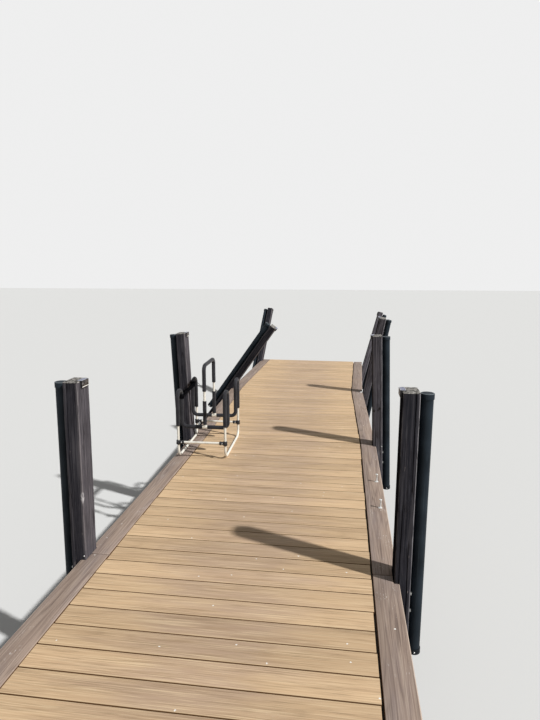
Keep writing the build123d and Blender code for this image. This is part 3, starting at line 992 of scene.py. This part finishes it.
lamp = add_bar("lamp", (lamp_depth, lamp_length, lamp_height + lip_thickness),
               (lamp_depth / 2, 0, (lip_thickness - lamp_height) / 2))
for level in (0, lens_height - lamp_height):
    slice_at((0, 0, level), (0, 0, 1))
select(lamp, "FACE", lambda normal, middle: normal.x < -0.9 and middle.z > 0)
bpy.ops.mesh.extrude_region_move(TRANSFORM_OT_translate={"value": (-lip_reach, 0, 0)})
select(lamp, "EDGE", lambda along, middle: abs(along.y) > 0.9 and middle.x > lamp_depth - tiny
       and middle.z < tiny - lamp_height)
bpy.ops.transform.translate(value=(-lamp_chamfer, 0, 0))
select(lamp, "EDGE", lambda along, middle: abs(along.y) > 0.9 and middle.x > lamp_depth - tiny
       and middle.z > lip_thickness - tiny)
bevel(lamp_chamfer, 3)
select(lamp, "EDGE", lambda along, middle: abs(along.y) < 0.1
       and abs(middle.y) > lamp_length / 2 - tiny)
bevel(lamp_ease, 2)
select(lamp, "FACE", lambda normal, middle: normal.z > 0.98 and middle.z > lip_thickness - tiny
       and abs(middle.y) < lamp_length / 4)
bpy.ops.mesh.inset(thickness=panel_frame, depth=0)
bpy.ops.mesh.inset(thickness=hair, depth=-panel_recess)
leave()

panel = eased_bar(
    "panel", (lip_reach + lamp_depth - lamp_chamfer - 2 * panel_frame - panel_play[0],
              lamp_length - 2 * panel_frame - panel_play[1], panel_thickness), tiny, 1,
    ((lamp_depth - lamp_chamfer - lip_reach) / 2, 0, lip_thickness - panel_thickness))
for shape in (lamp, panel):
    keep(shape, "side", [vertex.co.copy() for vertex in shape.data.vertices])
lens = eased_bar("lens", (lens_thickness, lamp_length - 2 * lens_inset, lens_height + lens_lap),
                 lens_ease, 2)
lens.data.transform(move(lamp_depth - lamp_chamfer / 2 - lens_sink, 0,
                         lens_height / 2 - lamp_height) @ turn(lens_slope, "Y"))
lamp_screws = join("pair", set_at(drawn_round("lamp_screw", lamp_screw_profile, 12), *[
    move(lamp_depth, end * lamp_screw_reach, lamp_screw_level) @ turn(90, "Y")
    for end in (-1, 1)]))

housing_plastic, nodes = new_material("lamp housing")
out, along, level = nodes.parts(nodes.kept("side", "Vector"))
dust = nodes.noise(nodes.place(), 55.0, 4.0)
front = out.spread(0.0112, 0.0118, 0.0, 0.8) * dust.spread(0.38, 0.6)
# The pale top frame is partly silver and partly a painted glint.
rim = level.spread(0.0026, 0.0029) * dust.spread(0.3, 0.5, 0.55, 1.0)
colour = nodes.layers((30, 30, 33), (dust.spread(0.5, 0.7), (62, 60, 60)),
                      (front, (104, 96, 92)), (rim, (206, 206, 212)))
nodes.dress(colour, dust.spread(0.3, 0.7, 0.35, 0.6), dust, 0.15, 0.0004)

panel_glass, nodes = new_material("lamp panel", gloss=0.7)
out, along, level = nodes.parts(nodes.kept("side", "Vector"))
fingers = nodes.math("GREATER_THAN", nodes.math("FRACT", along * 125.0), 0.86)
bus = nodes.math("GREATER_THAN", nodes.math("FRACT", out * 110.0), 0.9)
spots = nodes.noise(nodes.place(), 120.0, 3.0)
colour = nodes.layers((44, 54, 104), (fingers.most(bus) * 0.45, (150, 156, 190)),
                      (spots.spread(0.6, 0.7, 0.0, 0.7), (150, 156, 132)))
nodes.dress(colour, spots.spread(0.3, 0.7, 0.1, 0.35))
# The lens glows faintly: painted light, for the lamp is not lit.
lens_plastic = two_tone(
    "lamp lens", 220.0, 3.0, (0.35, 0.7), (244, 244, 240), (224, 224, 218), (0.25, 0.45),
    Emission_Color=(1.0, 1.0, 0.97, 1.0), Emission_Strength=0.22)

lamp_spots = []
for (side, bent), (matrix, size) in post_boxes.items():
    inwards = 0 if side == "left" else 180
    edge = size.x / 2 if side == "left" else -size.x / 2
    lamp_spots.append(matrix @ move(edge, lamp_shift, size.z / 2) @ turn(inwards, "Z"))
for name, shape, material, *nodes_under in (
        ("lamp_housings", lamp, housing_plastic, "post_lights"),
        ("lamp_panels", panel, panel_glass), ("lamp_lenses", lens, lens_plastic),
        ("lamp_screws", lamp_screws, steel)):
    finish_piece(join(name, set_at(shape, *lamp_spots)), "light", material, *nodes_under)

# Ladder pins
# Two galvanised pins with flat heads stand in the right edge board on round flanges, where a
# swim ladder is hooked on.
pin_height = 0.065
pin_profile = [(0.0150, 0.0), (0.0150, 0.0020), (0.0132, 0.0034), (0.0090, 0.0052),
               (0.0070, 0.0090), (0.0060, 0.0140), (0.0060, pin_height - 0.0090),
               (0.0068, pin_height - 0.0072), (0.0100, pin_height - 0.0066),
               (0.0100, pin_height - 0.0018), (0.0086, pin_height - 0.0004),
               (0.0040, pin_height)]
pin_inset = 0.010
low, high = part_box("ladder_pins")
pins = join("pins", set_at(drawn_round("pin", pin_profile, 28), *[
    move((low[0] + high[0]) / 2, along, low[2])
    for along in (low[1] + pin_inset, high[1] - pin_inset)]))
zinc = two_tone("bright zinc", 120.0, 3.0, (0.35, 0.65), (210, 210, 206),
                (238, 238, 236), (0.3, 0.5), (0.1, 0.0003), Metallic=0.4)
finish_piece(pins, "pin_metal", zinc, "ladder_pins")

# Paddle board rack
# Steel tube with a white powder coat: side rails on the deck, cradles and a hoop. Black
# moulded clamps join the legs to the cross bars and are pinched by a knob and a screw.
rack_middle = (-0.658, 4.409, 0.117)
rack_turn = 1.5
rack = move(*rack_middle) @ turn(rack_turn, "Z")
leg_across = 0.2125
leg_along = 0.340
bar_along = 0.203
clamp_rise = 0.144
collar_profile = [(0.0130, -0.0200), (0.0176, -0.0192), (0.0190, -0.0170), (0.0190, -0.0070),
                  (0.0174, -0.0058), (0.0174, 0.0058), (0.0190, 0.0070), (0.0190, 0.0170),
                  (0.0176, 0.0192), (0.0130, 0.0200)]
socket_profile = [(0.0150, 0.0060), (0.0150, 0.0380), (0.0168, 0.0392), (0.0172, 0.0410),
                  (0.0172, 0.0490), (0.0162, 0.0510), (0.0122, 0.0520)]
knob_profile = [(0.0052, 0.0150), (0.0052, 0.0215), (0.0118, 0.0225), (0.0134, 0.0250),
                (0.0134, 0.0300), (0.0116, 0.0325), (0.0060, 0.0332)]
knob_sides = 24
knob_core = 0.011
knob_grip = 0.84
knob_lobe = 4
clamp_screw_at = (0, -0.0150, 0.028)

powder_coat, nodes = new_material("powder coat")
place = nodes.place()
orange_peel = nodes.noise(place, 700.0, 2.0)
grime = nodes.noise(place, 18.0, 4.0)
nodes.dress(nodes.mix(grime.spread(0.52, 0.78), (240, 237, 226), (208, 200, 182)),
            grime.spread(0.3, 0.7, 0.3, 0.45), orange_peel, 0.1, 0.0004)
for node in ("rack_side_rails", "rack_cradles", "rack_hoop", "rack_crossbars"):
    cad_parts[node].data.materials.clear()
    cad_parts[node].data.materials.append(powder_coat)

clamp_plastic = two_tone("clamp moulding", 260.0, 3.0, (0.4, 0.7), (24, 24, 27),
                         (50, 50, 54), (0.42, 0.62), (0.2, 0.0004), gloss=0.45)
clamps = []
screw_spots = []
for end in (-1, 1):
    for side in (-1, 1):
        middle = rack @ move(side * leg_across, end * leg_along, clamp_rise)
        inward = middle @ turn(-90 * side, "Y")
        clamps += set_at(drawn_round("collar", collar_profile, 32), middle)
        clamps += set_at(drawn_round("socket", socket_profile, 32), inward)
        knob = drawn_round("knob", knob_profile, knob_sides)
        for vertex in knob.data.vertices:
            lobe = round(Vector((1, 0)).angle_signed(vertex.co.xy) / (2 * pi / knob_sides))
            if vertex.co.xy.length > knob_core and lobe % knob_lobe == 0:
                vertex.co.xy *= knob_grip
        clamps += set_at(knob, middle @ turn(-90 * end, "X"))
        screw_spots.append(inward @ move(*clamp_screw_at) @ turn(90, "X"))
finish_piece(join("rack_clamp_set", clamps), "rack_clamp", clamp_plastic, "rack_clamps")
screws_at("clamp_screws", *screw_spots)

# Foam sleeves
# Charcoal closed-cell foam tube pushed over the rack's tubes wherever a board rests: soft
# skinned, slit along its length, a little lumpy, and cut off square at the clamps and tees.
foam_outer = 0.0175
foam_wall = 0.0062
foam_lump = 0.0006
foam_sides = 28
foam_step = 0.015
bend_step = 9
foam_ease = 0.0012
slit_depth = 0.0022
hairpin_rise = 0.600
hairpin_radius = 0.0675
cradle_rise = 0.249
cradle_radius = 0.048
foam_start = 0.295
tee_stop = 0.0233
hoop_rise = 0.815
hoop_radius = 0.050
band_low = 0.492
band_high = 0.583
sleeves = []


def drawn_along(name, radius, sides, start, towards, moves):
    """A round skin drawn from a point by straight runs (a vector) and bends (a centre, an
    axis and degrees), open at both ends."""
    choose()
    bpy.ops.mesh.primitive_circle_add(vertices=sides, radius=radius)
    skin = bpy.context.object
    skin.name = name
    keep(skin, "slit", [1.0] + [0.0] * (sides - 1))
    skin.data.transform(Matrix.Translation(start)
                        @ Vector(towards).to_track_quat("Z", "X").to_matrix().to_4x4())
    edit()
    bpy.ops.mesh.select_mode(type="EDGE")
    bpy.ops.mesh.select_all(action="SELECT")
    for centre, *bend in moves:
        if bend:
            axis, degrees = bend
            bpy.ops.mesh.spin(steps=max(3, round(abs(degrees) / bend_step)),
                              angle=-radians(degrees), center=centre, axis=axis)
        else:
            steps = max(1, round(Vector(centre).length / foam_step))
            for step in range(steps):
                bpy.ops.mesh.extrude_region_move(
                    TRANSFORM_OT_translate={"value": Vector(centre) / steps})
    leave()
    return skin


def soften(skin, wall):
    """Sink a skin's slit, make it lumpy, and give it a wall inwards with closed ends."""
    choose(skin)
    edit()
    bpy.ops.mesh.select_all(action="SELECT")
    bpy.ops.mesh.remove_doubles(threshold=weld)
    bpy.ops.mesh.normals_make_consistent(inside=False)
    leave()
    slit = [share.value for share in skin.data.attributes["slit"].data]
    normals = [vertex.normal.copy() for vertex in skin.data.vertices]
    for vertex, share, normal in zip(skin.data.vertices, slit, normals):
        lump = foam_lump * noise.noise(vertex.co * 45)
        vertex.co += normal * (lump - slit_depth * share)
    walling = skin.modifiers.new("wall", "SOLIDIFY")
    walling.thickness = wall
    walling.offset = -1
    bpy.ops.object.modifier_apply(modifier=walling.name)
    ease_corners(skin, foam_ease, 60)
    return skin


def add_sleeve(start, *moves):
    """A foam sleeve that starts upwards from a point."""
    sleeves.append(soften(drawn_along("sleeve", foam_outer, foam_sides, start, (0, 0, 1), moves),
                          foam_wall))


leg_top = hairpin_rise - hairpin_radius
cradle_level = cradle_rise + cradle_radius
for end in (-1, 1):
    for side in (-1, 1):
        x = side * leg_across
        over = (end, 0, 0)
        add_sleeve((x, end * leg_along, foam_start), ((0, 0, leg_top - foam_start),),
                   ((x, end * (leg_along - hairpin_radius), leg_top), over, 90),
                   ((0, -end * (leg_along - bar_along - 2 * hairpin_radius), 0),),
                   ((x, end * (bar_along + hairpin_radius), leg_top), over, 90),
                   ((0, 0, cradle_level - leg_top),),
                   ((x - side * cradle_radius, end * bar_along, cradle_level),
                    (0, side, 0), 90),
                   ((side * (tee_stop + cradle_radius) - x, 0, 0),))
hoop_level = hoop_rise - hoop_radius
hoop_along = bar_along - hoop_radius
add_sleeve((0, -bar_along, band_high), ((0, 0, hoop_level - band_high),),
           ((0, -hoop_along, hoop_level), (-1, 0, 0), 90), ((0, 2 * hoop_along, 0),),
           ((0, hoop_along, hoop_level), (-1, 0, 0), 90), ((0, 0, band_high - hoop_level),))
for end in (-1, 1):
    add_sleeve((0, end * bar_along, cradle_rise + tee_stop),
               ((0, 0, band_low - cradle_rise - tee_stop),))
foam, nodes = new_material("closed-cell foam", gloss=0.25, Sheen_Weight=0.15)
place = nodes.place()
cells = nodes.add("ShaderNodeTexVoronoi", Vector=place, Scale=900.0)["Distance"]
fade = nodes.noise(place, 12.0, 3.0)
creases = nodes.noise(place, 60.0, 3.0, (1.0, 1.0, 3.0))
colour = nodes.layers((30, 30, 34), (fade.spread(0.35, 0.7), (52, 52, 57)),
                      (creases.spread(0.58, 0.72, 0.0, 0.5), (82, 82, 86)))
nodes.dress(colour, fade.spread(0.3, 0.7, 0.72, 0.9), cells + creases * 2.0, 0.35, 0.0006)
foam_sleeves = join("foam_sleeves", sleeves)
foam_sleeves.data.transform(rack)
finish_piece(foam_sleeves, "rack_foam", foam, "rack_foam", angle=60)

# Rack strap
# A black webbing strap is tied between the two left hairpins at the height of a board's edge.
# It goes once round each sleeve, sags a little between them, and ends in a coated hook.
strap_width = 0.042
strap_thickness = 0.006
strap_rise = 0.548
strap_climb = 0.014
strap_sag = 0.008
strap_twist = 0.004
strap_swing = 2.2
strap_steps = 24
strap_inset = foam_outer + strap_thickness
loop_play = 0.0004
hook_radius = 0.0022
hook_wall = 0.0010
hook_turn = -80
loop_profile = [(foam_outer + loop_play, -strap_width / 2), (strap_inset, -strap_width / 2),
                (strap_inset + loop_play, 0), (strap_inset, strap_width / 2),
                (foam_outer + loop_play, strap_width / 2)]

webbing, nodes = new_material("strap webbing", gloss=0.0)
place = nodes.kept("grain", "Vector")
along, across, up = nodes.parts(place)
weave = nodes.math("SINE", along * 3600.0) * nodes.math("SINE", up * 2400.0)
dulled = nodes.noise(place, 40.0, 3.0)
colour = nodes.layers((10, 10, 12), (dulled.spread(0.4, 0.7), (20, 20, 23)),
                      (weave.spread(0.3, 1.0, 0.0, 0.25), (40, 40, 44)))
nodes.dress(colour, dulled.spread(0.3, 0.7, 0.75, 0.92), weave, 0.5, 0.0005)

strap = add_bar("strap", (strap_thickness, 2 * bar_along, strap_width))
select(strap, "EDGE", lambda along, middle: abs(along.y) > 0.9)
bpy.ops.mesh.subdivide(number_cuts=strap_steps)
leave()
keep_grain(strap, along="y")
for vertex in strap.data.vertices:
    share = vertex.co.y / bar_along
    vertex.co.z += strap_climb * share - strap_sag * (1 - share ** 2)
    vertex.co.x += (strap_twist * sin(strap_swing * share) * vertex.co.z / strap_width
                    + strap_inset * share)
loops = []
for end in (-1, 1):
    loop = drawn_round("loop", loop_profile, 28)
    keep_grain(loop)
    loops += set_at(loop, move(0, end * bar_along, end * strap_climb))
strap_set = join("strap", [strap] + loops)
strap_set.data.transform(rack @ move(-leg_across, 0, strap_rise))
finish_piece(strap_set, "rack_foam", webbing)

hook = soften(drawn_along("hook", hook_radius, 12, (0, 0, 0), (0, 0, -1), [
    ((0, 0, -0.030),), ((0.012, 0, -0.030), (0, 1, 0), -200), ((0.002, 0, 0.010),)]), hook_wall)
hook.data.transform(rack @ move(-leg_across + strap_inset, bar_along, strap_rise)
                    @ turn(hook_turn, "Y"))
finish_piece(hook, "rack_clamp", clamp_plastic, angle=60)

# Floor, light and camera
# A plain pale floor under the piles, a soft sun from the right, an even sky, and the camera
# where the photograph was taken from.
floor_size = 120.0
floor_drop = 0.001
eye = Vector((0.583, -0.440, 1.807))
heading = radians(7.8)
pitch = radians(9.75)
focus = 541.0
picture_height = 720
film = 36.0
sun_towards = Vector((0.656, -0.265, 0.707))
sun_strength = 3.5
sun_spread = radians(2)
sky_strength = 0.21
backdrop_strength = 0.86

choose()
bpy.ops.mesh.primitive_plane_add(size=floor_size, location=(0, 0, solid_box[0][2] - floor_drop))
floor = bpy.context.object
floor.name = "floor"
pale, nodes = new_material("pale floor", gloss=0.1, Roughness=0.9, Base_Color=(226, 226, 224))
floor.data.materials.append(pale)

world = bpy.data.worlds.new("studio")
bpy.context.scene.world = world
world.use_nodes = True
nodes = Nodes(world.node_tree, world.node_tree.nodes["Background"].inputs)
rays = nodes.add("ShaderNodeLightPath")
seen = rays["Is Camera Ray"].most(rays["Is Glossy Ray"].most(rays["Is Transmission Ray"]))
nodes.give(Color=(1, 1, 1, 1), Strength=seen.spread(0.0, 1.0, sky_strength, backdrop_strength))

bpy.ops.object.light_add(type="SUN", rotation=sun_towards.to_track_quat("Z", "Y").to_euler())
sun = bpy.context.object
sun.data.energy = sun_strength
sun.data.angle = sun_spread

bpy.ops.object.camera_add(location=eye, rotation=(pi / 2 - pitch, 0, heading))
camera = bpy.context.object
camera.data.sensor_fit = "VERTICAL"
camera.data.sensor_height = film
camera.data.lens = focus * film / picture_height
camera.data.clip_start = 0.01
camera.data.clip_end = 500
bpy.context.scene.camera = camera
bpy.context.scene.view_settings.view_transform = "Standard"
